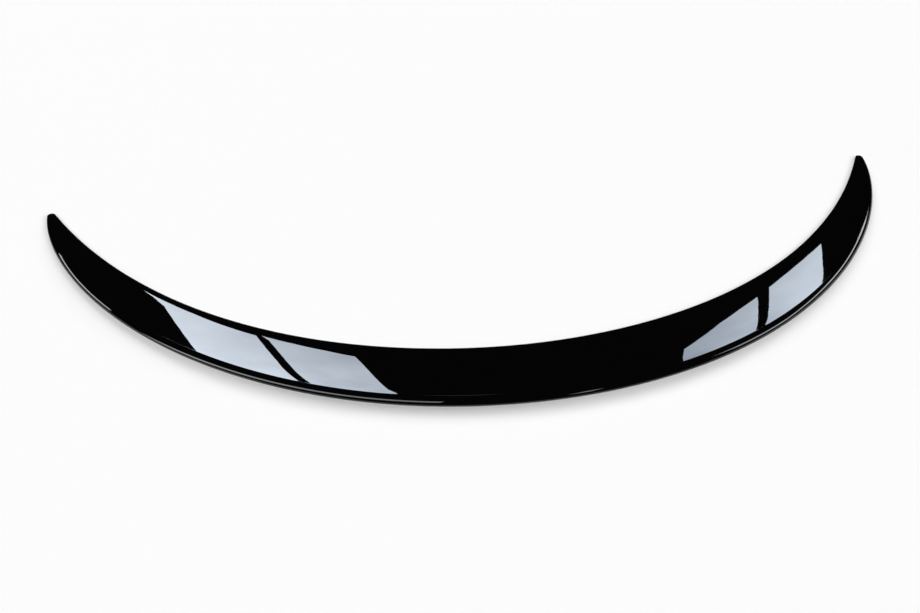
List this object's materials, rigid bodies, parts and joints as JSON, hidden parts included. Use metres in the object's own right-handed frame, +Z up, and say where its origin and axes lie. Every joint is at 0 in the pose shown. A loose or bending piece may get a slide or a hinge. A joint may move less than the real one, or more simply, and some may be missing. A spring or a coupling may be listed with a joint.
{
  "type": "car rear spoiler",
  "caption": "Crescent boot-lip spoiler moulded in one piece: thin nose, ramped gloss skin, hanging rear lip and a hollow ribbed underside that is bonded to the boot lid.",
  "frame": {"origin": "middle of the crescent's outline in plan, on the bonding plane", "axes": "+X along the span to the right-hand tip seen from behind the car, +Y to the front of the car and the tips, +Z up off the boot lid"},
  "size_m": [1.2564, 0.406, 0.03],
  "materials": {
    "gloss_black": "polished piano black"
  },
  "bodies": {
    "root": {"spoiler_shell": "gloss_black"}
  },
  "joints": []
}
